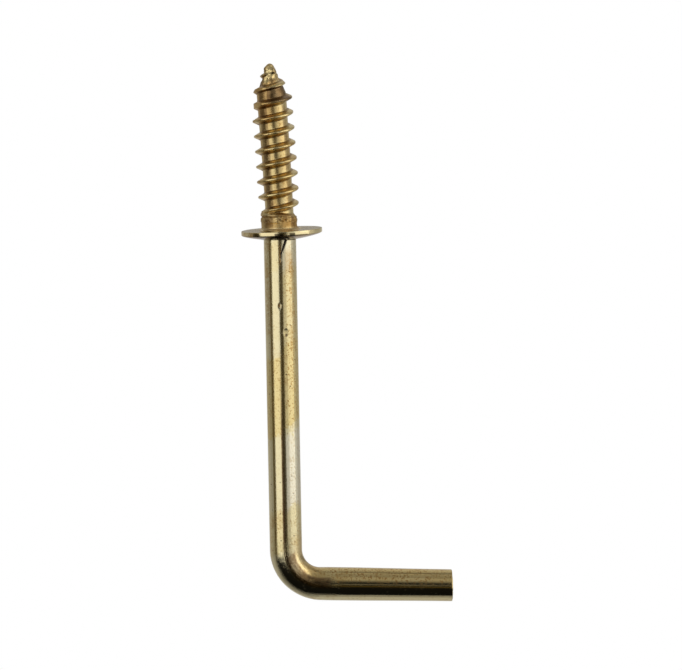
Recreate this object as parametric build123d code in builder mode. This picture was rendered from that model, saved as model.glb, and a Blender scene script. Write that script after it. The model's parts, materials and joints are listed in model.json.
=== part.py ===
"""Shouldered square-bend screw hook: a length of wire bent to an L, with a wood-screw
thread rolled on its upper end and a dished collar staked on below the thread.

Frame: the origin is the centre of the collar's flat seat face. +Z runs up the screw,
square to the seat. +X is the way the arm points. The wire lies in the XZ plane.
"""
import os
from math import cos, radians, sin, tan

from build123d import *

# ---- Wire and its bend ---------------------------------------------------------------
wire_diameter = 3.0        # drawn wire
shank_drop = 33.1          # seat face to the corner of the two wire axes, down the shank
shank_lean = 1.6           # degrees the shank drifts to -X on its way down
shank_set = 0.075          # the shank's axis starts this far to -X of the screw's
arm_reach = 15.45          # corner of the two wire axes to the sheared end, along the arm
arm_droop = 3.95           # degrees the arm falls below square to the seat
bend_radius = 3.3          # of the wire's axis
end_break = 0.08           # edge left broken round the sheared end

# ---- Collar --------------------------------------------------------------------------
collar_diameter = 7.5
collar_rim = 0.37          # thickness at the edge
collar_slope = 13.5        # degrees, rise of the coned underside
collar_offset = 0.1        # the collar sits this far to +X of the screw's axis
collar_edge_round = 0.1    # on both corners of the rim
hub_land = 0.05            # flat ring under the collar, beyond the wire

# ---- Staked joint between wire and collar --------------------------------------------
journal_step = 0.15        # the wire steps in by this much where it goes through the collar
bore_clearance = 0.02      # gap round the wire inside the collar's bore
stake_flare = 0.35         # the staked metal spreads this far beyond the neck
stake_depth = 0.3          # depth of the countersink that the staked metal fills

# ---- Neck between the collar and the thread ------------------------------------------
neck_swell = 0.16          # the squeezed neck stands this far proud of the wire
neck_height = 1.55         # seat face to the top of the neck
bead_swell = 0.1           # rough bead round the neck, proud of the neck
bead_height = 0.9          # middle of the bead above the seat
bead_width = 0.7           # of the bead, along the wire

# ---- Rolled wood-screw thread --------------------------------------------------------
screw_length = 15.35       # seat face to the tip
screw_lean = 0.75          # degrees the screw drifts to -X on its way up
root_sink = 0.175          # the thread's root lies this far inside the wire's surface
crest_rise = 0.375         # the thread's crest stands this far outside it
thread_pitch = 1.41
thread_start = 0.96        # height of the ridge's lower end, which is on the +X side
thread_fade = 1.0          # height over which the first turn rises out of the neck
crest_width = 0.16
ridge_width = 0.74         # of the thread's ridge at the root
ridge_bury = 0.9           # the ridge runs on this far inside the root
envelope_gap = 0.05        # the trimming envelope clears the full crest by this much
point_length = 2.65        # from the full root to the tip
crest_fade = 3.1           # height over which the crest falls away to the nose
nose_radius = 0.5          # rounded tip

# ---- Worked out from the above -------------------------------------------------------
wire_radius = wire_diameter / 2
collar_radius = collar_diameter / 2
journal_radius = wire_radius - journal_step
bore_radius = journal_radius + bore_clearance
neck_radius = wire_radius + neck_swell
stake_radius = neck_radius + stake_flare
root_radius = wire_radius - root_sink
crest_radius = wire_radius + crest_rise

screw_x = -collar_offset
shank_x = screw_x - shank_set
hub_radius = wire_radius + hub_land - shank_x
hub_depth = collar_rim + (collar_radius - hub_radius) * tan(radians(collar_slope))

neck_axis = Axis(origin=(screw_x, 0, 0), direction=(0, 0, 1))
neck_section = Plane(origin=(screw_x, 0, 0), x_dir=(1, 0, 0), z_dir=(0, -1, 0))
lean_x, lean_z = sin(radians(screw_lean)), cos(radians(screw_lean))
screw_axis = Axis(origin=(screw_x, 0, 0), direction=(-lean_x, 0, lean_z))
screw_section = Plane(origin=(screw_x, 0, 0), x_dir=(lean_z, 0, lean_x), z_dir=(0, -1, 0))
ridge_foot = Plane(
    origin=screw_axis.position + screw_axis.direction * thread_start,
    z_dir=screw_axis.direction,
)

corner = (
    shank_x - shank_drop * sin(radians(shank_lean)),
    -shank_drop * cos(radians(shank_lean)),
)
arm_end = (
    corner[0] + arm_reach * cos(radians(arm_droop)),
    corner[1] - arm_reach * sin(radians(arm_droop)),
)

# ---- Wire hook: arm, bend, shank, neck, screw and thread, all one length of wire -------
with BuildPart() as wire_hook:
    with BuildLine(Plane.XZ) as wire_line:
        FilletPolyline((shank_x, 0), corner, arm_end, radius=bend_radius)
    with BuildSketch(Plane(origin=wire_line.line @ 0, z_dir=wire_line.line % 0)):
        Circle(wire_radius)
    sweep()
    sheared_end = wire_hook.faces().sort_by(Axis.X)[-1]
    chamfer(sheared_end.edges(), end_break)
    split(bisect_by=Plane.XY.offset(-hub_depth), keep=Keep.BOTTOM)

    # Journal through the collar, staked metal in its countersink, and the beaded neck
    with BuildSketch(neck_section):
        with BuildLine():
            inner = Polyline(
                (0, neck_height),
                (0, -hub_depth),
                (journal_radius, -hub_depth),
                (journal_radius, -stake_depth),
                (stake_radius, 0),
                (neck_radius, stake_flare),
                (neck_radius, bead_height - bead_width / 2),
            )
            bead = ThreePointArc(
                inner @ 1,
                (neck_radius + bead_swell, bead_height),
                (neck_radius, bead_height + bead_width / 2),
            )
            Polyline(bead @ 1, (root_radius, neck_height), (0, neck_height))
        make_face()
    revolve(axis=neck_axis)

    # Core of the screw, with its point and rounded nose
    with BuildSketch(screw_section):
        with BuildLine():
            core = Polyline(
                (0, stake_flare),
                (root_radius, stake_flare),
                (root_radius, screw_length - point_length),
                (nose_radius, screw_length - nose_radius),
            )
            nose = RadiusArc(core @ 1, (0, screw_length), -nose_radius)
            Line(nose @ 1, (0, stake_flare))
        make_face()
    revolve(axis=screw_axis)

    # Right-hand thread: a helical ridge inside a turned envelope, which lets it rise out
    # of the neck at the bottom and fade away on the point at the top
    with BuildPart(mode=Mode.PRIVATE) as ridge:
        with BuildLine(ridge_foot):
            turns = Helix(
                pitch=thread_pitch, height=screw_length - thread_start, radius=root_radius
            )
        with BuildSketch(Plane(origin=turns @ 0, x_dir=screw_section.x_dir, z_dir=turns % 0)):
            with BuildLine():
                Polyline(
                    (-ridge_bury, -ridge_width / 2),
                    (0, -ridge_width / 2),
                    (root_sink + crest_rise, -crest_width / 2),
                    (root_sink + crest_rise, crest_width / 2),
                    (0, ridge_width / 2),
                    (-ridge_bury, ridge_width / 2),
                    close=True,
                )
            make_face()
        sweep(path=turns, is_frenet=True)
        with BuildSketch(screw_section):
            with BuildLine():
                Polyline(
                    (0, thread_start),
                    (neck_radius, thread_start),
                    (crest_radius + envelope_gap, thread_start + thread_fade),
                    (crest_radius + envelope_gap, screw_length - crest_fade),
                    (nose_radius, screw_length - nose_radius),
                    (0, screw_length - nose_radius),
                    close=True,
                )
            make_face()
        revolve(axis=screw_axis, mode=Mode.INTERSECT)
    add(ridge.part)
wire_hook.part.label = "wire_hook"

# ---- Shoulder collar: flat seat above, coned below, bored a little off its centre ------
with BuildPart() as shoulder_collar:
    with BuildSketch(Plane.XZ):
        with BuildLine():
            Polyline(
                (0, 0),
                (collar_radius, 0),
                (collar_radius, -collar_rim),
                (hub_radius, -hub_depth),
                (0, -hub_depth),
                close=True,
            )
        make_face()
    revolve(axis=Axis.Z)
    rim_corners = shoulder_collar.edges().filter_by(GeomType.CIRCLE).group_by(SortBy.RADIUS)[-1]
    fillet(rim_corners, collar_edge_round)
    with BuildSketch(neck_section):
        with BuildLine():
            Polyline(
                (0, 0),
                (stake_radius, 0),
                (bore_radius, -stake_depth),
                (bore_radius, -hub_depth),
                (0, -hub_depth),
                close=True,
            )
        make_face()
    revolve(axis=neck_axis, mode=Mode.SUBTRACT)
shoulder_collar.part.label = "shoulder_collar"

os.makedirs("parts", exist_ok=True)
export_step(wire_hook.part, "parts/wire_hook.step")
export_step(shoulder_collar.part, "parts/shoulder_collar.step")
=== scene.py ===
"""A brass-plated square screw hook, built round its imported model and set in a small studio.

The hook is taken as it is made: the wire first, with its rolled thread and square bend, then
the collar that is staked on it. The studio and the camera come last.
"""
import json
import math

import bmesh
import bpy
from mathutils import Matrix, Vector, noise


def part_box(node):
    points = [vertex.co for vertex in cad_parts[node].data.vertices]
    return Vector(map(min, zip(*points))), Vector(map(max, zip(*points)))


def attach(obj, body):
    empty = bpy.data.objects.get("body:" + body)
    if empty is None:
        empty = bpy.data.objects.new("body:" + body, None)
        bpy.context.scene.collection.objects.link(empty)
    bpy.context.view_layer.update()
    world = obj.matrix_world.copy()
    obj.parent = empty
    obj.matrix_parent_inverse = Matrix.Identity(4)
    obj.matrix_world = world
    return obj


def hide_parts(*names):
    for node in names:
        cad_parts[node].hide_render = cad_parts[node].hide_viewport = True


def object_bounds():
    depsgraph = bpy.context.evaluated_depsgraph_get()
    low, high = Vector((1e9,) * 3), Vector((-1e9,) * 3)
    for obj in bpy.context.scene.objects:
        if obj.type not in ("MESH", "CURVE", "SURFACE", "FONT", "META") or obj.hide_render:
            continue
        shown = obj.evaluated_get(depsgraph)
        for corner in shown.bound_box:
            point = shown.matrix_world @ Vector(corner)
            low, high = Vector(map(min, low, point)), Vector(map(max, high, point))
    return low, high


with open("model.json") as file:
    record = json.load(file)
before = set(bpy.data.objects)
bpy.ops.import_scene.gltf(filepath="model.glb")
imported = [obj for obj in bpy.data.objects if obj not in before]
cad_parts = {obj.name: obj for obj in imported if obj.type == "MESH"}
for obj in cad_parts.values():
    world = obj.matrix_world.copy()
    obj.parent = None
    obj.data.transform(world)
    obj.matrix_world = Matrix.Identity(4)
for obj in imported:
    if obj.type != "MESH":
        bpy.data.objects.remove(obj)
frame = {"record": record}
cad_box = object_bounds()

# ---- Wire hook ---------------------------------------------------------------------------
# One length of drawn steel wire, brass plated. A coarse wood-screw thread is rolled on one
# end, and the other is bent square in a press and cropped by a shear. Between them the neck
# is squeezed outwards, which holds the collar on.

# Places and sizes are in millimetres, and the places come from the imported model
wire_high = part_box("wire_hook")[1] * 1000
collar_low, collar_high = (corner * 1000 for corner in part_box("shoulder_collar"))
arm_mount = next(m for m in frame["record"]["mounts"] if m["name"] == "hook_arm")
wire_radius = arm_mount["dims"]["r_mm"]
arm_axis = Vector(arm_mount["axis"])
arm_middle = Vector(arm_mount["pos_m"]) * 1000
collar_depth = collar_high.z - collar_low.z

# Heights are measured from the collar's flat seat, and lengths along the wire from its tip
screw_x = -0.1
screw_lean = math.radians(0.75)
shank_lean = math.radians(1.6)
shank_set = 0.075
bend_radius = 3.3
edge_break = 0.08
arm_end = arm_middle + arm_axis * (arm_mount["dims"]["length_mm"] / 2 + edge_break)
nose_radius = 0.5
crest_height = 2.37
thread_pitch = 1.404
journal_radius = 1.35
stake_radius = 2.01

screw_length = wire_high.z
shank_down = Vector((-math.sin(shank_lean), 0, -math.cos(shank_lean)))
screw_foot = Vector((screw_x, 0, 0))
screw_tip = screw_foot + Vector((-math.sin(screw_lean), 0, math.cos(screw_lean))) * screw_length
shank_top = screw_foot - Vector((shank_set, 0, 0))
shank_start = shank_top + shank_down * collar_depth

# The square corner is where the lines of the shank and the arm cross
between = arm_middle - shank_top
crossing = shank_down.x * arm_axis.z - shank_down.z * arm_axis.x
down_to_corner = (between.x * arm_axis.z - between.z * arm_axis.x) / crossing
corner = shank_top + shank_down * down_to_corner
bend_angle = shank_down.angle(arm_axis)
bend_setback = bend_radius * math.tan(bend_angle / 2)

line_points = [screw_tip, screw_foot, shank_start, corner, arm_end]
line_mesh = bpy.data.meshes.new("wire_centre_line")
line_mesh.from_pydata(line_points, [(i, i + 1) for i in range(len(line_points) - 1)], [])
wire = bpy.data.objects.new("brass_wire_hook", line_mesh)
bpy.context.scene.collection.objects.link(wire)

# Lengths along the wire to where each part of it starts
at_seat = (screw_foot - screw_tip).length
at_bend = at_seat + (shank_start - screw_foot).length + (corner - shank_start).length
at_bend -= bend_setback
at_arm = at_bend + bend_radius * bend_angle
at_end = at_arm + (arm_end - corner).length - bend_setback
end_edge = at_end - edge_break
end_face = end_edge + edge_break * math.pi / 2
end_middle = end_face + wire_radius - edge_break

round_steps = 144
neck_top = 1.2
point_foot = 14.6
countersink_foot = at_seat + 0.30
collar_foot = at_seat + collar_depth
seam_foot = at_seat + 3.4
narrow = 0.03
first_nick_from, first_nick_to = at_seat + 6.5, at_seat + 7.5
second_nick_from, second_nick_to = at_seat + 9.0, at_seat + 10.1
near_shear = at_end - 1.2

# Stretches of the wire as (from, to, rings), with more rings where the surface has detail
stretches = [
    (0, at_seat - point_foot, 24),
    (at_seat - neck_top, countersink_foot, 44),
    (countersink_foot, collar_foot - narrow, 4),
    (collar_foot - narrow, collar_foot, 3),
    (collar_foot, seam_foot, 54),
    (seam_foot, first_nick_from, 9),
    (first_nick_from, first_nick_to, 24),
    (first_nick_to, second_nick_from, 5),
    (second_nick_from, second_nick_to, 26),
    (second_nick_to, at_bend, 44),
    (at_bend, at_arm, 60),
    (at_arm, near_shear, 34),
    (near_shear, end_edge, 14),
    (end_edge, end_face, 9),
    (end_face, end_face + narrow, 3),
    (end_face + narrow, end_middle, 10),
]


class Amount:
    """A value in a node tree, so that shapes and finishes read as plain arithmetic."""

    def __init__(self, tree, socket):
        self.tree = tree
        self.socket = socket

    def sum_of(self, operation, *others):
        node = self.tree.nodes.new("ShaderNodeMath")
        node.operation = operation
        for place, other in zip(node.inputs, (self, *others)):
            plug(self.tree, place, other)
        return Amount(self.tree, node.outputs[0])

    def __add__(self, other):
        return self.sum_of("ADD", other)

    __radd__ = __add__

    def __sub__(self, other):
        return self.sum_of("SUBTRACT", other)

    def __rsub__(self, other):
        return (self * -1) + other

    def __mul__(self, other):
        return self.sum_of("MULTIPLY", other)

    __rmul__ = __mul__

    def __truediv__(self, other):
        return self.sum_of("DIVIDE", other)

    def sine(self):
        return self.sum_of("SINE")

    def cosine(self):
        return self.sum_of("COSINE")

    def size(self):
        return self.sum_of("ABSOLUTE")

    def power(self, other):
        return self.sum_of("POWER", other)

    def least(self, other, rounding=0):
        if rounding:
            return self.sum_of("SMOOTH_MIN", other, rounding)
        return self.sum_of("MINIMUM", other)

    def most(self, other, rounding=0):
        if rounding:
            return self.sum_of("SMOOTH_MAX", other, rounding)
        return self.sum_of("MAXIMUM", other)

    def rise(self, start, stop, smooth=True):
        """0 before start, 1 after stop; a falling step has start and stop the other way round."""
        node = self.tree.nodes.new("ShaderNodeMapRange")
        node.interpolation_type = "SMOOTHSTEP" if smooth else "LINEAR"
        plug(self.tree, node.inputs["Value"], self)
        plug(self.tree, node.inputs["From Min"], start)
        plug(self.tree, node.inputs["From Max"], stop)
        return Amount(self.tree, node.outputs["Result"])

    def band(self, start, stop, edge):
        """1 between start and stop, fading to 0 over edge on each side."""
        return self.rise(start - edge, start) * self.rise(stop + edge, stop)


def plug(tree, place, value):
    """Links a value to a socket, or sets the socket to it."""
    if isinstance(value, Amount):
        tree.links.new(value.socket, place)
    elif isinstance(value, bpy.types.NodeSocket):
        tree.links.new(value, place)
    else:
        place.default_value = value


def node_with(tree, kind, settings=(), **values):
    """A node of that kind; a value's name is its socket's, with _ for a space."""
    node = tree.nodes.new(kind)
    for name, setting in dict(settings).items():
        setattr(node, name, setting)
    for name, value in values.items():
        plug(tree, node.inputs[name.replace("_", " ")], value)
    return node


def vector_of(tree, x, y, z):
    """A vector from its three parts."""
    return node_with(tree, "ShaderNodeCombineXYZ", X=x, Y=y, Z=z).outputs[0]


def parts_of(tree, vector):
    """The three parts of a vector."""
    node = node_with(tree, "ShaderNodeSeparateXYZ", Vector=vector)
    return tuple(Amount(tree, node.outputs[axis]) for axis in "XYZ")


def vector_math(tree, operation, *values):
    """A sum or product of two vectors."""
    node = node_with(tree, "ShaderNodeVectorMath", {"operation": operation})
    for place, value in zip(node.inputs, values):
        plug(tree, place, value)
    return node.outputs[0]


def scaled(tree, vector, size):
    """A vector made that many times as long."""
    node = node_with(tree, "ShaderNodeVectorMath", {"operation": "SCALE"}, Scale=size)
    plug(tree, node.inputs[0], vector)
    return node.outputs[0]


def roughly(tree, vector, scale, detail=2.0, roughness=0.5):
    """Smooth noise about 0.5."""
    node = node_with(
        tree, "ShaderNodeTexNoise", Vector=vector, Scale=scale, Detail=detail, Roughness=roughness
    )
    return Amount(tree, node.outputs[0])


def group_with(kind, name, sockets, results):
    """An empty node group with those named inputs and outputs."""
    tree = bpy.data.node_groups.new(name, kind)
    for label, (socket, value) in sockets.items():
        made = tree.interface.new_socket(label, in_out="INPUT", socket_type=socket)
        if value is not None:
            made.default_value = value
    for label, socket in results.items():
        tree.interface.new_socket(label, in_out="OUTPUT", socket_type=socket)
    inputs = tree.nodes.new("NodeGroupInput")
    outputs = tree.nodes.new("NodeGroupOutput")
    return tree, inputs, outputs


def on_front(y):
    """1 over the front of the wire, 0 from its sides round to the back."""
    return y.rise(-0.3, -0.8)


def open_seam(x, y, height, wander, spread=0.0):
    """A lap in the wire that has opened under the collar, 1 along its middle. It starts right
    of the front and slants down to it, narrowing as it goes."""
    foot = -3.1
    elbow = -2.22
    slant = 0.354
    narrowest = 0.035
    widening = 0.075
    middle = (height - elbow).most(0.0) * slant
    half_width = height.rise(foot, -0.9, smooth=False) * widening + narrowest + spread
    depth = (1 - (x - middle + wander * 0.06).size() / half_width).most(0.0)
    return depth * on_front(y) * height.rise(foot, -2.4) * height.rise(-0.5, -0.8)


def struck_nick(x, y, height, across, up, half_width, half_height):
    """A rounded dent in the front of the shank, 1 at its middle."""
    beside = (x - across) / half_width
    over = (height - up) / half_height
    return (1 - beside * beside - over * over).most(0.0) * on_front(y)


def rolled_wire():
    """Geometry nodes that draw the wire along its line, in millimetres, and scale it to metres.
    The result is the tree and the sizes that it is given."""
    sizes = {
        "Wire Radius": wire_radius,
        "Bend Radius": bend_radius,
        "Tip to Seat": at_seat,
        "Tip to End": at_end,
        "Thread Pitch": thread_pitch,
        "Crest Height": crest_height,
        "Crest Radius": 1.90,
        "Crest Width": 0.17,
        "Ridge Width": 0.74,
        "Root Radius": 1.325,
        "Point Radius": 0.397,
        "Nose Length": nose_radius,
        "Neck Radius": 1.65,
        "Neck Height": 1.5,
        "Neck Shift": 0.1,
        "Stake Radius": stake_radius,
        "Stake Height": 0.35,
        "Journal Radius": journal_radius,
        "Collar Depth": collar_depth,
        "Edge Break": edge_break,
        "Shear Angle": math.radians(2.0),
        "Screw Bow": 0.085,
        "Seed": 4.0,
    }
    sockets = {"Centre Line": ("NodeSocketGeometry", None)}
    sockets.update({name: ("NodeSocketFloat", value) for name, value in sizes.items()})
    sockets["Finish"] = ("NodeSocketMaterial", None)
    tree, inputs, outputs = group_with(
        "GeometryNodeTree", "rolled_wire", sockets, {"Wire": "NodeSocketGeometry"}
    )
    given = {name: Amount(tree, inputs.outputs[name]) for name in sizes}

    # Flat sheets that are rolled up below: X runs along the wire from the tip, Y round it
    sheets = tree.nodes.new("GeometryNodeJoinGeometry")
    for start, stop, rings in stretches:
        grid = node_with(
            tree, "GeometryNodeMeshGrid", Size_X=stop - start, Size_Y=2 * math.pi,
            Vertices_X=rings, Vertices_Y=round_steps + 1,
        )
        placed = node_with(tree, "GeometryNodeTransform", Geometry=grid.outputs["Mesh"])
        placed.inputs["Translation"].default_value = ((start + stop) / 2, math.pi, 0)
        tree.links.new(placed.outputs[0], sheets.inputs[0])

    # The thread's sheet is one long ribbon, a pitch wide, wound so that its middle row is
    # the crest. Rows lie closer together near the crest.
    ribbon_rows = 29
    crowding = 1.3
    turns_below = 2
    first_crest = crest_height - turns_below * thread_pitch
    turns = math.ceil((point_foot - first_crest) / thread_pitch + 0.5)
    ribbon = node_with(
        tree, "GeometryNodeMeshGrid", Size_X=2.0, Size_Y=2 * math.pi * turns,
        Vertices_X=ribbon_rows, Vertices_Y=round_steps * turns + 1,
    )
    flat_place = tree.nodes.new("GeometryNodeInputPosition").outputs[0]
    across, lengthways, _ = parts_of(tree, flat_place)
    round_about = lengthways + math.pi * turns
    across = across.sum_of("SIGN") * across.size().power(crowding) * given["Thread Pitch"] * 0.5
    climb = round_about * given["Thread Pitch"] * (1 / (2 * math.pi))
    height = across + climb + given["Crest Height"] - given["Thread Pitch"] * turns_below
    height = height.most(neck_top).least(point_foot)
    wound = node_with(
        tree, "GeometryNodeSetPosition", Geometry=ribbon.outputs["Mesh"],
        Position=vector_of(tree, given["Tip to Seat"] - height, round_about, 0.0),
    )
    # It runs down the wire where the other sheets run up, so its faces are turned over
    turned = node_with(tree, "GeometryNodeFlipFaces", Mesh=wound.outputs[0])
    tree.links.new(turned.outputs[0], sheets.inputs[0])

    # Along the wire: the nose and the broken edge are quarter rounds
    travel, turn, _ = parts_of(tree, flat_place)
    nose = given["Nose Length"]
    nose_turn = (travel / nose).least(1.0) * (math.pi / 2)
    edge = given["Edge Break"]
    edge_start = given["Tip to End"] - edge
    past_edge = travel - edge_start
    edge_turn = (past_edge / edge).most(0.0).least(math.pi / 2)
    along = travel.least(edge_start)
    along = nose * (1 - nose_turn.cosine()) + (along - nose).most(0.0) + edge * edge_turn.sine()
    height = given["Tip to Seat"] - along
    side = turn.cosine()
    front = turn.sine() * -1

    # A place on the straight wire, for the unevenness of its surface
    skin_x = side * given["Wire Radius"]
    skin_y = front * given["Wire Radius"] * -1
    seeded = vector_of(tree, skin_x + given["Seed"], skin_y, height)
    coarse = roughly(tree, seeded, 0.55, detail=1.0) - 0.5
    medium = roughly(tree, seeded, 2.1) - 0.5
    fine = roughly(tree, seeded, 6.5, detail=3.0, roughness=0.62) - 0.5

    # Core of the screw: a long point that widens in two slopes, on a barely tapered core
    half_way_up = 7.0
    core_taper = 0.006
    tip_slope = 0.233
    point_slope = 0.465
    rounding = 0.12
    core = given["Root Radius"] + (height - half_way_up) * core_taper + medium * 0.02
    point = given["Point Radius"] + along * tip_slope
    point = point.most(along * point_slope + 0.08, rounding)
    core = point.least(core, rounding)

    # Thread: distance from the nearest crest, measured along the wire. The crest is lower in
    # its first turn and on the point, and it is blunt on the left near the top.
    phase = (height - given["Crest Height"]) / given["Thread Pitch"] - turn * (1 / (2 * math.pi))
    off_crest = (phase - phase.sum_of("ROUND")).size() * given["Thread Pitch"]
    worn = coarse * 0.11 + medium * 0.05
    left = (side * -1).rise(0.35, 0.95)
    blunt = height.band(10.9, 13.4, 0.7) * left
    blunt_loss = 0.27
    tallest = 1.98
    first_turn_drop = 0.32
    crest_slope = 0.448
    crest_at_tip = 0.51
    crest = given["Crest Radius"] - (1 - height.rise(1.0, 2.9)) * first_turn_drop
    crest = crest.least(along * crest_slope + crest_at_tip, 0.1) + worn
    steep = (given["Crest Radius"] - given["Root Radius"]) / (
        (given["Ridge Width"] - given["Crest Width"]) * 0.5
    )
    flank = crest + (given["Crest Width"] * 0.5 + blunt * 0.06 - off_crest) * steep
    ridge = flank.least(crest, rounding).least(tallest - blunt * blunt_loss, 0.04)

    # The ridge sinks out of sight at both of its ends
    ridge = ridge - (1 - along.rise(0.5, 1.15)) * 0.5 - (1 - height.rise(0.6, 1.5)) * 0.5
    screw = core.most(ridge, 0.10)

    # Neck, squeezed out of round over the collar, with torn metal round it, a groove between
    # it and the thread, and a flare that fills the collar's countersink
    torn = height.band(0.85, 1.25, 0.25)
    bead = height.band(0.8, 1.0, 0.35) * side.rise(0.2, 0.9)
    bead_swell = 0.05
    groove = height.band(1.22, 1.26, 0.12)
    groove_depth = 0.07
    neck_top_here = given["Neck Height"] - side * 0.2
    shoulder = height.rise(neck_top_here - 0.2, neck_top_here + 0.35)
    shoulder_drop = 0.45
    neck = given["Neck Radius"] - side * given["Neck Shift"] + torn * (fine * 0.2 + medium * 0.22)
    neck = neck + bead * bead_swell - groove * groove_depth - shoulder * shoulder_drop
    neck = neck - height.rise(1.9, 4.0) * 2.0
    upper = screw.most(neck, 0.06)
    flare = (1 - height / given["Stake Height"]).most(0.0).least(1.0).power(3.0)
    upper = upper + (given["Stake Radius"] - upper) * flare

    # The tip is lumpy, as the rolling left it
    tip_place = vector_of(tree, side * core, front * core * -1 + given["Seed"], height)
    lumps = roughly(tree, tip_place, 1.5, detail=1.0) - 0.54
    tip_lumps = along.rise(2.9, 1.2) * lumps * 0.5 * along.rise(0.0, 0.4)
    upper = upper + tip_lumps * nose_turn.sine()

    # Countersink and journal inside the collar, then the plain wire below it
    sink = given["Stake Height"] - 0.05
    inside = given["Stake Radius"] + (height / sink) * (
        given["Stake Radius"] - given["Journal Radius"]
    )
    inside = inside.most(given["Journal Radius"])
    radius = upper + (inside - upper) * (height * -1).rise(-0.001, 0.0, smooth=False)
    below = (height * -1).rise(given["Collar Depth"] - narrow, given["Collar Depth"] - 0.001)
    plain = given["Wire Radius"] + coarse * 0.008 + medium * 0.002

    # A seam in the wire has opened below the collar, and two nicks were struck in the shank
    seam_depth = 0.12
    first_depth = 0.025
    second_depth = 0.032
    seam = open_seam(skin_x, skin_y, height, medium)
    first = struck_nick(skin_x, skin_y, height, -0.20, -6.99, 0.19, 0.34)
    second = struck_nick(skin_x, skin_y, height, 0.33, -9.45, 0.23, 0.42)
    plain = plain - seam * seam_depth - first * first_depth - second * second_depth

    # Bending has swollen the wire a little after the corner and roughened the corner itself.
    # The arm thins very slightly towards the cropped end.
    swelling = 0.05
    thinning = 0.010
    swollen = along.rise(at_arm - 2.0, at_arm + 1.0) * along.rise(at_arm + 10.0, at_arm + 2.0)
    bent = along.band(at_bend, at_arm, 0.8)
    plain = plain + swollen * swelling - along.rise(at_end - 4.0, at_end) * thinning
    plain = plain + bent * fine * 0.012
    radius = radius + (plain - radius) * below

    # The nose and the cropped end draw the radius in to nothing
    radius = radius * nose_turn.sine()
    radius = radius - edge * (1 - edge_turn.cosine())
    radius = (radius - (past_edge - edge * (math.pi / 2)).most(0.0)).most(0.0)

    # Roll the sheets up round the centre line, with the square corner rounded
    sharp_line = node_with(
        tree, "GeometryNodeMeshToCurve", Mesh=inputs.outputs["Centre Line"]
    )
    line = node_with(
        tree, "GeometryNodeFilletCurve", {"mode": "POLY"}, Curve=sharp_line.outputs[0],
        Count=240, Radius=given["Bend Radius"], Limit_Radius=True,
    )
    centre = node_with(
        tree, "GeometryNodeSampleCurve", {"mode": "LENGTH", "use_all_curves": True},
        Curves=line.outputs[0], Length=along,
    )
    across_bend = vector_math(tree, "CROSS_PRODUCT", centre.outputs["Tangent"], (0.0, 1.0, 0.0))
    outwards = vector_math(
        tree, "ADD", scaled(tree, across_bend, side * radius),
        vector_of(tree, 0.0, front * radius * -1, 0.0),
    )

    # The shear leaves the end a little out of square, slightly domed and torn
    near_end = along.rise(at_end - 1.0, at_end)
    dome_height = 0.06
    tear_depth = 0.10
    dome = (1 - (radius / given["Wire Radius"]).power(2.0)) * dome_height
    lean = side * radius * given["Shear Angle"].sum_of("TANGENT") * -1
    end_place = vector_of(tree, side * radius * 3.0, front * radius + given["Seed"], 0.0)
    torn_end = roughly(tree, end_place, 1.3, detail=2.0) - 0.5
    sheared = (lean + dome + torn_end * tear_depth) * near_end
    place = vector_math(
        tree, "ADD", centre.outputs["Position"],
        scaled(tree, centre.outputs["Tangent"], sheared),
    )
    place = vector_math(tree, "ADD", place, outwards)

    # The upper half of the screw is bowed a little to the left
    bowed = height.rise(6.0, 12.5) * given["Screw Bow"] * -1
    place = vector_math(tree, "ADD", place, vector_of(tree, bowed, 0.0, 0.0))

    # What the finish needs to know: the place on the straight wire, how far up the thread's
    # ridge a point is, and where the cropped end is. On the end face and near the tip, the
    # place follows the radius in, so that no pattern is drawn out into rays there.
    relief = (radius - core) / (given["Crest Radius"] - given["Root Radius"])
    relief = relief * height.rise(neck_top, neck_top + 0.5)
    cropped = along.rise(at_end - 0.1, at_end - 0.04)
    drawn_in = cropped.most(height.rise(12.5, 14.0))
    reach = given["Wire Radius"] + (radius - given["Wire Radius"]) * drawn_in
    skin = vector_of(tree, side * reach, front * reach * -1, height)
    known = sheets.outputs[0]
    for name, kind, value in (
        ("wire_skin", "FLOAT_VECTOR", skin),
        ("thread_relief", "FLOAT", relief),
        ("cropped_end", "FLOAT", cropped),
    ):
        kept = node_with(
            tree, "GeometryNodeStoreNamedAttribute", {"data_type": kind, "domain": "POINT"},
            Geometry=known, Name=name, Value=value,
        )
        known = kept.outputs[0]

    rolled = node_with(tree, "GeometryNodeSetPosition", Geometry=known, Position=place)
    joined = node_with(
        tree, "GeometryNodeMergeByDistance", Geometry=rolled.outputs[0], Distance=0.0005
    )
    smooth = node_with(tree, "GeometryNodeSetShadeSmooth", Geometry=joined.outputs[0])
    metres = node_with(tree, "GeometryNodeTransform", Geometry=smooth.outputs[0])
    metres.inputs["Scale"].default_value = (0.001, 0.001, 0.001)
    real = node_with(tree, "GeometryNodeRealizeInstances", Geometry=metres.outputs[0])
    finish = inputs.outputs["Finish"]
    painted = node_with(
        tree, "GeometryNodeSetMaterial", Geometry=real.outputs[0], Material=finish
    )
    tree.links.new(painted.outputs[0], outputs.inputs[0])
    return tree, sizes


def drawn_lines():
    """Fine lines along a wire, left by the die it was drawn through."""
    tree, inputs, outputs = group_with(
        "ShaderNodeTree", "drawn_lines",
        {"Skin": ("NodeSocketVector", None), "Fineness": ("NodeSocketFloat", 14.0)},
        {"Lines": "NodeSocketFloat"},
    )
    skin = inputs.outputs["Skin"]
    fineness = Amount(tree, inputs.outputs["Fineness"])
    x, y, along_wire = parts_of(tree, skin)
    stretched = vector_of(tree, x * fineness, y * fineness, along_wire * 0.35)
    lines = roughly(tree, stretched, 1.0, detail=3.0, roughness=0.6)
    plug(tree, outputs.inputs["Lines"], lines)
    return tree


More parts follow.
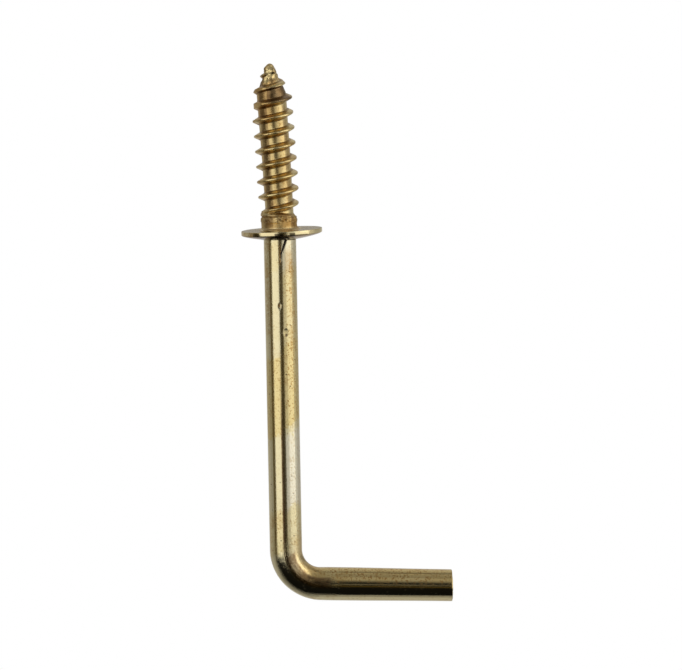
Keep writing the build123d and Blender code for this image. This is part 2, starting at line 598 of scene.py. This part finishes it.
def tarnish():
    """Brown bloom in clouds, and small pits with brown rims, where plating has broken down."""
    tree, inputs, outputs = group_with(
        "ShaderNodeTree", "tarnish",
        {
            "Place": ("NodeSocketVector", None),
            "Bloom Amount": ("NodeSocketFloat", 0.3),
            "Speck Amount": ("NodeSocketFloat", 0.3),
        },
        {"Bloom": "NodeSocketFloat", "Specks": "NodeSocketFloat"},
    )
    place = inputs.outputs["Place"]
    bloom_amount = Amount(tree, inputs.outputs["Bloom Amount"])
    speck_amount = Amount(tree, inputs.outputs["Speck Amount"])
    clouds = roughly(tree, place, 0.75, detail=5.0, roughness=0.62)
    grain = roughly(tree, place, 5.0, detail=4.0, roughness=0.7)
    mixed = clouds * 0.7 + grain * 0.3
    bloom = mixed.rise(0.66 - bloom_amount * 0.3, 0.80 - bloom_amount * 0.3)

    # Only some of the cells hold a speck, and only where the plating is poor
    cells = node_with(tree, "ShaderNodeTexVoronoi", Vector=place, Scale=2.6)
    from_middle = Amount(tree, cells.outputs["Distance"]) + grain * 0.16
    cell_colour = node_with(tree, "ShaderNodeSeparateColor", Color=cells.outputs["Color"])
    chance = Amount(tree, cell_colour.outputs[0])
    poor_plating = roughly(tree, place, 1.1, detail=2.0).rise(0.42, 0.55)
    present = chance.rise(1 - speck_amount, 1.02 - speck_amount) * poor_plating
    specks = from_middle.rise(0.30, 0.17) * present
    plug(tree, outputs.inputs["Bloom"], bloom)
    plug(tree, outputs.inputs["Specks"], specks)
    return tree


def brass_tone():
    """The colour of brass plating, from pale to golden, with brown bloom, specks and grime, whose
    browns and near-black also paint shade and shadow.
    """
    plain_brass = (0.83, 0.74, 0.46, 1)
    tones = {
        "Pale": (0.87, 0.81, 0.62, 1),
        "Golden": (0.80, 0.645, 0.29, 1),
        "Amber": (0.74, 0.52, 0.215, 1),
        # The last three tones also serve for painted shade and painted shadow
        "Bloom": (0.54, 0.33, 0.11, 1),
        "Specks": (0.18, 0.10, 0.045, 1),
        "Grime": (0.035, 0.022, 0.010, 1),
    }
    tree, inputs, outputs = group_with(
        "ShaderNodeTree", "brass_tone", {name: ("NodeSocketFloat", 0.0) for name in tones},
        {"Tone": "NodeSocketColor"},
    )
    tone = plain_brass
    for name, colour in tones.items():
        mix = node_with(tree, "ShaderNodeMix", {"data_type": "RGBA"})
        plug(tree, mix.inputs["Factor"], inputs.outputs[name])
        plug(tree, mix.inputs[6], tone)
        plug(tree, mix.inputs[7], colour)
        tone = mix.outputs[2]
    plug(tree, outputs.inputs["Tone"], tone)
    return tree


def material_with(name):
    """A new material with a Principled shader, and nothing else."""
    material = bpy.data.materials.new(name)
    material.use_nodes = True
    tree = material.node_tree
    tree.nodes.clear()
    shader = tree.nodes.new("ShaderNodeBsdfPrincipled")
    result = tree.nodes.new("ShaderNodeOutputMaterial")
    tree.links.new(shader.outputs[0], result.inputs["Surface"])
    return material, tree, shader


def use_group(tree, group, **values):
    """A shader node group placed in a material, with its own values."""
    return node_with(tree, "ShaderNodeGroup", {"node_tree": group}, **values)


def surface_relief(tree, shader, relief_height):
    """Gives the surface relief too fine to be in the mesh."""
    bump = node_with(tree, "ShaderNodeBump", Strength=0.6, Distance=0.00001, Height=relief_height)
    plug(tree, shader.inputs["Normal"], bump.outputs[0])


lines_group = drawn_lines()
tarnish_group = tarnish()
tone_group = brass_tone()


def wire_finish():
    """Bright brass plate on drawn wire, patchy along the shank and browner in the thread, with
    painted shade in the thread and at the corner.
    """
    material, tree, shader = material_with("brass_plated_wire")
    skin = node_with(tree, "ShaderNodeAttribute", {"attribute_name": "wire_skin"})
    place = skin.outputs["Vector"]
    x, y, height = parts_of(tree, place)

    def wire_value(name):
        node = node_with(tree, "ShaderNodeAttribute", {"attribute_name": name})
        return Amount(tree, node.outputs["Fac"])

    relief = wire_value("thread_relief")
    cropped = wire_value("cropped_end")
    clouds = roughly(tree, place, 0.9, detail=4.0) - 0.5
    grain = roughly(tree, place, 4.5, detail=4.0, roughness=0.65) - 0.5
    patches = roughly(tree, place, 0.7, detail=2.0) - 0.5
    right = x.rise(-0.35, 0.25)
    left = 1 - right
    threaded = height.rise(0.0, 0.5)
    on_arm = height.rise(-31.0, -33.5)

    # Bands of deeper gold along the shank, their edges ragged and set a little apart on the
    # two sides, with a paler one between them on the right
    ragged = height + clouds * 2.0 + grain * 1.5 - x * 0.5
    golden = (ragged - right * 0.6).band(-18.6, -11.6, 0.4) * 0.85
    golden = golden + ragged.band(-10.8, -4.2, 0.7) * right * 0.55
    golden = golden + ragged.band(-29.4, -26.0, 0.5) * (0.45 - right * 0.25)
    golden = golden + ragged.band(-2.9, -1.0, 0.6) * left * 0.3
    golden = golden + height.rise(-31.0, -34.0) * x.rise(-0.7, 0.5) * 0.9
    golden = (golden + clouds * 0.7 + grain * 0.2).most(0.0).least(1.0)
    golden = golden * (1 - threaded) + threaded * (0.75 + patches * 2.0).most(0.0).least(1.0)
    pale = ragged.band(-25.9, -19.4, 0.4) * right
    pale = pale + height.band(-4.0, -0.9, 0.5) * right * 0.4

    # Amber in the thread, most of all in its roots, then on the neck, corner and arm
    roots = threaded * relief.rise(0.55, 0.05)
    rusty = height.band(10.6, 13.4, 0.4) * x.rise(0.2, -0.3)
    amber = threaded * (0.42 + roots * 0.15 + clouds * 2.4).most(0.0).least(1.0)
    amber = amber + rusty * 0.7
    amber = amber + height.rise(-30.0, -33.5) * x.rise(-0.5, 0.5) * (0.25 + clouds * 0.5)
    amber = amber + height.band(0.1, 0.75, 0.2) * 0.3 + height.rise(-35.0, -42.0) * 0.15
    amber = amber + height.band(-34.5, -29.0, 1.0) * x.rise(0.4, 1.2) * (0.5 + grain)
    amber = amber.most(0.0).least(1.0)

    # Tarnish all over, thickest at the corner of the wire
    stained = 0.30 + golden * 0.16 + threaded * 0.1 + height.band(-36.0, -27.0, 1.5) * 0.2
    spotted = 0.40 + height.rise(-30.5, -33.5) * 0.3
    breakdown = use_group(
        tree, tarnish_group, Place=place, Bloom_Amount=stained, Speck_Amount=spotted
    )
    bloom = Amount(tree, breakdown.outputs["Bloom"]) * (0.45 + threaded * 0.2)
    specks = Amount(tree, breakdown.outputs["Specks"])

    # Fine rust-brown freckles, thick on the top of the arm
    arm_rust = height.band(-44.5, -37.0, 1.5) * x.rise(0.5, 1.1)
    freckles = roughly(tree, place, 6.0, detail=2.0, roughness=0.6).rise(0.54, 0.66)
    freckles = freckles * (0.18 + golden * 0.55 + amber * 0.2) * (1 - threaded * 0.6)
    freckles = freckles * (1 + arm_rust * 2.5) * (1 + x.rise(0.2, 0.5) * 0.7)

    # Rust-brown on both sides of the open seam, with a hairline on its left
    seam_rust = x.band(-0.16, -0.02, 0.10) * height.band(-3.0, -1.5, 0.4)
    seam_rust = seam_rust + x.band(0.5, 0.95, 0.3) * height.band(-3.6, -2.2, 0.8) * 0.5
    seam_rust = seam_rust * on_front(y) * (0.8 + grain)
    hairline = (1 - (x + 0.07).size() * 28).most(0.0) * height.band(-2.3, -1.0, 0.3)

    # Brown at the foot of each ridge, painted shade in the roots; rust-brown on the squeezed
    # neck, along the sides of the upper shank, and in a streak down the front of the lower shank
    foot = threaded * relief.band(0.07, 0.30, 0.06) * (0.35 + clouds)
    squeezed = height.band(0.1, 1.35, 0.15)
    edges = x.band(0.80, 1.12, 0.14) * height.band(-10.5, -3.6, 1.5)
    edges = edges + x.band(-1.40, -1.05, 0.1) * height.band(-9.0, -1.0, 1.5)
    streak = x.band(-0.25, -0.13, 0.10) * height.rise(-13.0, -20.0) * height.rise(-31.0, -28.0)
    streak = streak * on_front(y) * (0.95 + clouds + grain)
    bloom = bloom + foot.most(0.0) + freckles + seam_rust + rusty * (0.35 + clouds)
    bloom = bloom + squeezed * (0.35 + clouds + grain)
    bloom = bloom + hairline * on_front(y) * 0.7
    bloom = bloom + edges * (0.30 + grain * 2.5 + clouds).most(0.0)
    bloom = bloom + streak * 0.6

    # The two nicks: rust all over the first, and dark spots in both
    first = struck_nick(x, y, height, -0.26, -6.92, 0.13, 0.26)
    second = struck_nick(x, y, height, 0.36, -9.70, 0.14, 0.17)
    bloom = (bloom + first * 1.4).least(1.0)
    specks = (specks + first.rise(0.3, 0.9) * 0.7 + second.rise(0.0, 0.6) * 0.9).least(1.0)
    specks = specks * height.rise(14.6, 13.6) * (1 - on_arm * 0.6)

    # Dark brown: the bruised turn near the point and the torn metal of the neck. Painted shade:
    # the roots of the ridges and the sides of the screw; and a painted dark reflection over the
    # front of the corner, which dims its highlight
    bruise = height.band(12.0, 13.1, 0.3) * x.band(-0.45, 1.3, 0.25) * y.rise(0.4, -0.1)
    # Painted shade in the roots of the ridges
    root_painted_shade = threaded * relief.band(0.05, 0.26, 0.05) * (0.55 + grain + clouds).most(0.0)
    torn = height.band(0.85, 1.3, 0.12) * grain.rise(-0.02, 0.12) * 0.85
    # Painted dark reflection over the front of the corner
    painted_dark_reflection = height.band(-35.6, -30.6, 0.9) * x.band(-0.05, 0.65, 0.25) * y.rise(0.0, -0.5)
    painted_dark_reflection = painted_dark_reflection * (0.95 + grain * 1.5 + clouds)
    # Painted shade on both sides of the screw, in its roots and on its front
    painted_side_shade = x.band(-1.25, -0.70, 0.12) * (0.85 + clouds * 1.6 + grain)
    painted_side_shade = painted_side_shade + x.band(0.95, 1.20, 0.10) * (0.55 + clouds * 1.6)
    painted_side_shade = painted_side_shade.most(0.0) * threaded * relief.rise(0.7, 0.3) * y.rise(0.2, -0.2)
    browned_and_painted_shade = specks.most(bruise * (1.1 + clouds)).most(streak).most(root_painted_shade)
    browned_and_painted_shade = browned_and_painted_shade.most(torn).most(painted_dark_reflection).most(painted_side_shade * 0.85).least(1.0)
    grime = open_seam(x, y, height, clouds, spread=0.035).rise(0.05, 0.4)
    # The Specks tone takes in the painted shade and the painted dark reflection gathered above
    tone = use_group(
        tree, tone_group, Pale=pale, Golden=golden, Amber=amber, Bloom=bloom,
        Specks=browned_and_painted_shade * 0.85, Grime=grime,
    )
    plug(tree, shader.inputs["Base Color"], tone.outputs["Tone"])

    # Duller where it is stained, on the screw, the neck and the cropped end, and shinier on
    # the arm
    lines = Amount(tree, use_group(tree, lines_group, Skin=place).outputs["Lines"])
    rough = 0.19 + (lines - 0.5) * 0.08 + clouds * 0.06 + bloom * 0.12 + specks * 0.3
    rough = rough + threaded * 0.09 + grime * 0.4 + cropped * 0.15 + squeezed * 0.12
    rough = rough - height.rise(-29.0, -33.0) * 0.08
    plug(tree, shader.inputs["Roughness"], rough.most(0.05).least(0.8))
    plug(tree, shader.inputs["Metallic"], 1 - grime * 0.8 - specks * 0.3)

    # Drawn lines and grit, both deeper at the corner, and pits under the tarnish
    at_corner = height.band(-36.0, -29.5, 1.2)
    gritty = (0.35 + threaded * 0.6 + at_corner * 1.6) * height.rise(14.5, 12.5)
    streaky = (0.25 + at_corner * 1.6) * (1 - threaded * 0.8)
    relief_height = (lines - 0.5) * streaky + grain * gritty
    surface_relief(tree, shader, relief_height - specks * 0.3 - bloom * 0.1)
    return material


wire_tree, wire_sizes = rolled_wire()
wire_material = wire_finish()
shaping = wire.modifiers.new("rolled_wire", "NODES")
shaping.node_group = wire_tree
for item in wire_tree.interface.items_tree:
    if item.in_out == "INPUT" and item.name in wire_sizes:
        shaping[item.identifier] = wire_sizes[item.name]
    elif item.in_out == "INPUT" and item.name == "Finish":
        shaping[item.identifier] = wire_material
made = wire.evaluated_get(bpy.context.evaluated_depsgraph_get())
finished = bpy.data.meshes.new_from_object(made)
wire.modifiers.clear()
wire.data = finished
wire.data.name = "brass_wire_hook"
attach(wire, "root")
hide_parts("wire_hook")

# ---- Shoulder collar ---------------------------------------------------------------------
# A turned or pressed brass-plated collar, flat on the seat side and coned below. It is
# slipped over the neck of the wire and held by the metal staked into its countersink.
collar_radius = (collar_high.x - collar_low.x) / 2
collar_rim = 0.44
upper_round = 0.05
lower_round = 0.11
bore_clearance = 0.02
bore_radius = journal_radius + bore_clearance
countersink_radius = stake_radius
countersink_depth = 0.3
hub_radius = 1.725
seat_rings = 7
seat_ring_gap = 0.2
cone_rings = 16
cone_hollow = 0.72
collar_steps = 240


def round_corner(middle, radius, start, stop, steps=6):
    """Points on an arc of the collar's outline; angles in degrees."""
    angles = [math.radians(start + (stop - start) * i / steps) for i in range(steps + 1)]
    return [(middle[0] + radius * math.cos(a), middle[1] + radius * math.sin(a)) for a in angles]


cone_angle = math.degrees(math.atan2(collar_depth - collar_rim, collar_radius - hub_radius))
outline = [(bore_radius, -countersink_depth), (countersink_radius, 0.0)]
outline += [(countersink_radius + seat_ring_gap * i, 0.0) for i in range(1, seat_rings + 1)]
upper_corner = (collar_radius - upper_round, -upper_round)
outline += round_corner(upper_corner, upper_round, 90, 0)
lower_corner = (collar_radius - lower_round, lower_round - collar_rim)
outline += round_corner(lower_corner, lower_round, 0, cone_angle - 90)
cone_start = outline[-1]
for i in range(1, cone_rings + 1):
    inwards = (hub_radius - cone_start[0]) * i / cone_rings
    downwards = (-collar_depth - cone_start[1]) * (i / cone_rings) ** cone_hollow
    outline.append((cone_start[0] + inwards, cone_start[1] + downwards))
outline.append((bore_radius, -collar_depth))

# The rim isn't quite round or flat: it waves, and its front is bent up a little
wave_depth = 0.006
ripple_depth = 0.004
rim_lift = 0.01
front_lift = 0.02
right_lift = 0.006
wave_drop = 0.010
collar_mesh = bpy.data.meshes.new("brass_shoulder_collar")
lathe = bmesh.new()
rows = []
for radius, z in outline:
    row = []
    bore_share = max(0.0, min(1.0, (collar_radius - radius) / (collar_radius - hub_radius)))
    off_centre = screw_x if radius <= countersink_radius and z > -collar_depth else 0.0
    for step in range(collar_steps):
        angle = 2 * math.pi * step / collar_steps
        wave = noise.noise(Vector((math.cos(angle), math.sin(angle), 0)) * 1.7)
        ripple = noise.noise(Vector((math.cos(angle), math.sin(angle), 1)) * 6)
        inwards = (wave_depth * (1 + wave) + ripple_depth * (1 + ripple)) * (1 - bore_share)
        x = off_centre + (radius - inwards) * math.cos(angle)
        y = (radius - inwards) * math.sin(angle)
        lift = rim_lift - front_lift * y + right_lift * x - wave_drop * (1 + wave)
        lift = lift * (1 - bore_share)
        row.append(lathe.verts.new((x * 0.001, y * 0.001, (z + lift) * 0.001)))
    rows.append(row)
for row, next_row in zip(rows, rows[1:] + rows[:1]):
    for step in range(collar_steps):
        after = (step + 1) % collar_steps
        face = lathe.faces.new((row[step], next_row[step], next_row[after], row[after]))
        face.smooth = True
bmesh.ops.recalc_face_normals(lathe, faces=lathe.faces)
lathe.to_mesh(collar_mesh)
lathe.free()
collar_mesh.set_sharp_from_angle(angle=math.radians(30))
collar = bpy.data.objects.new("brass_shoulder_collar", collar_mesh)
bpy.context.scene.collection.objects.link(collar)


def collar_finish():
    """Brass plate on a turned collar, with faint turning rings, rust on the left rim, and painted
    shade and shadow below and on the rim's front.
    """
    material, tree, shader = material_with("brass_plated_collar")
    point = node_with(tree, "ShaderNodeTexCoord").outputs["Object"]
    place = scaled(tree, point, 1000.0)
    x, y, z = parts_of(tree, place)
    out = (x * x + y * y).power(0.5)
    clouds = roughly(tree, place, 1.0, detail=4.0) - 0.5
    grain = roughly(tree, place, 5.0, detail=4.0, roughness=0.65) - 0.5
    rings = roughly(tree, vector_of(tree, out * 16.0, z * 16.0, 0.0), 1.0, detail=2.0) - 0.5
    rim = out.rise(3.3, 3.7)
    left_rim = rim * x.rise(-2.2, -3.0)
    breakdown = use_group(
        tree, tarnish_group, Place=place, Bloom_Amount=0.3 + left_rim * 0.5,
        Speck_Amount=0.25 + left_rim * 0.3,
    )
    bloom = (Amount(tree, breakdown.outputs["Bloom"]) * (0.5 + left_rim * 0.4)).least(1.0)
    specks = Amount(tree, breakdown.outputs["Specks"])

    # The underside is darkened brown as painted shade, with a nearly black painted shadow round
    # the front of the wire
    under = (z + y * 0.02).rise(-0.34, -0.42)
    front = y.rise(0.0, -0.5)
    painted_shadow_at_wire = under * x.band(-2.1, 0.8, 0.5) * front * (0.55 + grain)

    # Three patches of painted shadow darken the front of the rim below its top edge
    rim_shadow_place = x + clouds * 0.25
    rim_painted_shadow = rim_shadow_place.band(-0.75, -0.1, 0.12).most(rim_shadow_place.band(0.62, 1.02, 0.10))
    rim_painted_shadow = rim_painted_shadow.most(rim_shadow_place.band(-2.65, -2.25, 0.12) * 0.8) * rim * front
    rim_painted_shadow = rim_painted_shadow * (z + grain * 0.2).rise(-0.02, -0.14)
    # The underside's painted shade goes into the Amber, Bloom and Specks tones, and both painted
    # shadows into the darkest tone
    tone = use_group(
        tree, tone_group, Pale=rim * (1 - left_rim) * 0.12,
        Golden=((0.8 + clouds * 0.6) * (1 - rim * 0.6)).least(1.0),
        Amber=((0.45 + clouds) * (1 - rim * 0.7) + under * 0.4).most(0.0).least(1.0),
        Bloom=bloom.most(under * 0.6), Specks=(specks * 0.7).most(under * 0.6),
        Grime=painted_shadow_at_wire.most(rim_painted_shadow * 0.85).least(1.0),
    )
    plug(tree, shader.inputs["Base Color"], tone.outputs["Tone"])
    rough = 0.17 + clouds * 0.08 + bloom * 0.15 + specks * 0.25
    plug(tree, shader.inputs["Roughness"], rough.most(0.05))
    shader.inputs["Metallic"].default_value = 1.0
    surface_relief(tree, shader, rings * 0.5 + grain * 0.6 - specks * 0.6)
    return material


collar_mesh.materials.append(collar_finish())
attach(collar, "root")
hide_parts("shoulder_collar")

# ---- Floor -------------------------------------------------------------------------------
# A wide white sweep below the hook, lit so evenly that it shows no shade. It is clear from
# below, and the metal doesn't mirror it.
floor_drop = 0.025
floor_size = 8.0
white = (1, 1, 1, 1)
floor_mesh = bpy.data.meshes.new("white_floor")
half = floor_size / 2
floor_z = cad_box[0].z - floor_drop
floor_corners = [(-half, -half), (half, -half), (half, half), (-half, half)]
floor_mesh.from_pydata([(x, y, floor_z) for x, y in floor_corners], [], [(0, 1, 2, 3)])
floor = bpy.data.objects.new("white_floor", floor_mesh)
bpy.context.scene.collection.objects.link(floor)
floor_material, tree, shader = material_with("white_sweep")
glow = node_with(tree, "ShaderNodeEmission", Color=white, Strength=1.0)
clear = tree.nodes.new("ShaderNodeBsdfTransparent")
facing = tree.nodes.new("ShaderNodeNewGeometry")
seen = node_with(tree, "ShaderNodeMixShader", Fac=facing.outputs["Backfacing"])
plug(tree, seen.inputs[1], glow.outputs[0])
plug(tree, seen.inputs[2], clear.outputs[0])
result = next(n for n in tree.nodes if n.type == "OUTPUT_MATERIAL")
plug(tree, result.inputs["Surface"], seen.outputs[0])
tree.nodes.remove(shader)
floor_mesh.materials.append(floor_material)
floor.visible_glossy = False
floor.visible_diffuse = False
floor.visible_shadow = False

# ---- Camera ------------------------------------------------------------------------------
# A long lens, a little above the hook and just to the left of square on to it, rolled
# slightly so that the hook leans.
camera_azimuth = math.radians(-3.1)
camera_elevation = math.radians(6.4)
camera_roll = math.radians(-2.64)
camera_distance = 0.4
aim = Vector((0.00504, 0, -0.010105))
back = Vector((
    math.sin(camera_azimuth) * math.cos(camera_elevation),
    -math.cos(camera_azimuth) * math.cos(camera_elevation),
    math.sin(camera_elevation),
))
level_right = Vector((math.cos(camera_azimuth), math.sin(camera_azimuth), 0))
level_up = back.cross(level_right)
right = level_right * math.cos(camera_roll) + level_up * math.sin(camera_roll)
up = level_up * math.cos(camera_roll) - level_right * math.sin(camera_roll)
camera_data = bpy.data.cameras.new("studio_camera")
camera_data.sensor_width = 36
camera_data.lens = 227.7
camera_data.clip_start = 0.01
camera_data.clip_end = 20
camera = bpy.data.objects.new("studio_camera", camera_data)
bpy.context.scene.collection.objects.link(camera)
camera.matrix_world = Matrix.Translation(aim + back * camera_distance) @ Matrix(
    (right, up, back)).transposed().to_4x4()
bpy.context.scene.camera = camera
bpy.context.scene.view_settings.view_transform = "Standard"

# ---- Lights ------------------------------------------------------------------------------
# Upright softboxes: one left of the lens, and a dim and a bright one side by side right of it.
# Angles are in degrees round the hook from the lens, to the lens's right, and up from level.
softbox_distance = 0.8
softbox_foot = -15.2
softboxes = [
    # name, from, to, top, level
    ("left_softbox", -64, -13, 45, 1.0),
    ("right_softbox_inner", 15, 38, 22, 0.60),
    ("right_softbox_outer", 38, 84, 45, 1.05),
]
upright = Vector((0, 0, 1))
for name, start, stop, highest, level in softboxes:
    middle = camera_azimuth + math.radians((start + stop) / 2)
    half_angle = math.radians((stop - start) / 2)
    outwards = Vector((math.sin(middle), -math.cos(middle), 0))
    bottom = softbox_distance * math.tan(math.radians(softbox_foot))
    top = softbox_distance * math.tan(math.radians(highest))
    light = bpy.data.lights.new(name, "AREA")
    light.shape = "RECTANGLE"
    light.size = 2 * softbox_distance * math.tan(half_angle)
    light.size_y = top - bottom
    light.energy = level * math.pi * light.size * light.size_y
    softbox = bpy.data.objects.new(name, light)
    turned = Matrix((upright.cross(outwards), upright, outwards)).transposed().to_4x4()
    centre = outwards * softbox_distance + upright * (bottom + top) / 2
    softbox.matrix_world = Matrix.Translation(centre) @ turned
    softbox.visible_camera = False
    bpy.context.scene.collection.objects.link(softbox)

# ---- Room --------------------------------------------------------------------------------
# The room that the metal mirrors: pale grey overhead and behind, nearly black low down in
# front of the hook and dark about the lens, with a dark flag on the left. The lens itself
# sees plain white. Angles are in degrees, as for the softboxes.
world = bpy.data.worlds.new("studio_room")
world.use_nodes = True
bpy.context.scene.world = world
tree = world.node_tree
tree.nodes.clear()
direction = node_with(tree, "ShaderNodeTexCoord").outputs["Generated"]
x, y, z = parts_of(tree, direction)
sideways = x * math.cos(camera_azimuth) + y * math.sin(camera_azimuth)
towards = x * math.sin(camera_azimuth) - y * math.cos(camera_azimuth)
round_room = sideways.sum_of("ARCTAN2", towards) * (180 / math.pi)
above = z.sum_of("ARCSINE") * (180 / math.pi)
ahead = round_room.band(-45, 45, 20)
behind = 1 - round_room.band(-100, 100, 15)

# Walls, brighter behind and at the right side, darker at the left side and near the floor
room = 0.40 + round_room.rise(-140, -165) * 0.2 + round_room.rise(140, 165) * 0.2
room = room + round_room.band(80, 100, 14) * 0.17 - round_room.band(-108, -88, 10) * 0.1
room = room - above.rise(-25, -45) * 0.14
room = room - above.band(35, 60, 10) * ahead * 0.05

# Dark about the lens, but for a thin line of light just above level
about_lens = above.band(-8, 17, 26) * ahead
room = room * (1 - about_lens * 0.97) + above.band(4.0, 7.6, 1.0) * ahead * 0.13

# Dimmer straight overhead, high up behind, and in a strip along the back wall
room = room - above.band(64, 90, 12) * 0.12
room = room - above.rise(12, 42) * behind * 0.11
room = room * (1 - above.band(3, 11, 3) * behind * 0.5)

# Nearly black below level in front, warmer towards the top of that dark, and the dark flag
front_dark = above.band(-72, -4, 3) * round_room.band(-83, 79, 5)
front_shade = 0.005 + above.rise(-17, -3) * 0.06
flag = above.band(-12, 20, 4) * round_room.band(-83, -70, 6)
flag_shade = 0.07
room = room * (1 - front_dark) + front_shade * front_dark
room = room * (1 - flag) + flag * flag_shade
warm = (front_dark + flag).least(1.0) * above.rise(-22, -6)
sky = node_with(tree, "ShaderNodeBackground")
tint = node_with(
    tree, "ShaderNodeCombineColor", Red=room, Green=room * (0.985 - warm * 0.27),
    Blue=room * (0.96 - warm * 0.82),
)
plug(tree, sky.inputs["Color"], tint.outputs[0])
white_sheet = node_with(tree, "ShaderNodeBackground", Color=white)
light_path = tree.nodes.new("ShaderNodeLightPath")
either = node_with(tree, "ShaderNodeMixShader", Fac=light_path.outputs["Is Camera Ray"])
plug(tree, either.inputs[1], sky.outputs[0])
plug(tree, either.inputs[2], white_sheet.outputs[0])
seen_room = tree.nodes.new("ShaderNodeOutputWorld")
plug(tree, seen_room.inputs["Surface"], either.outputs[0])
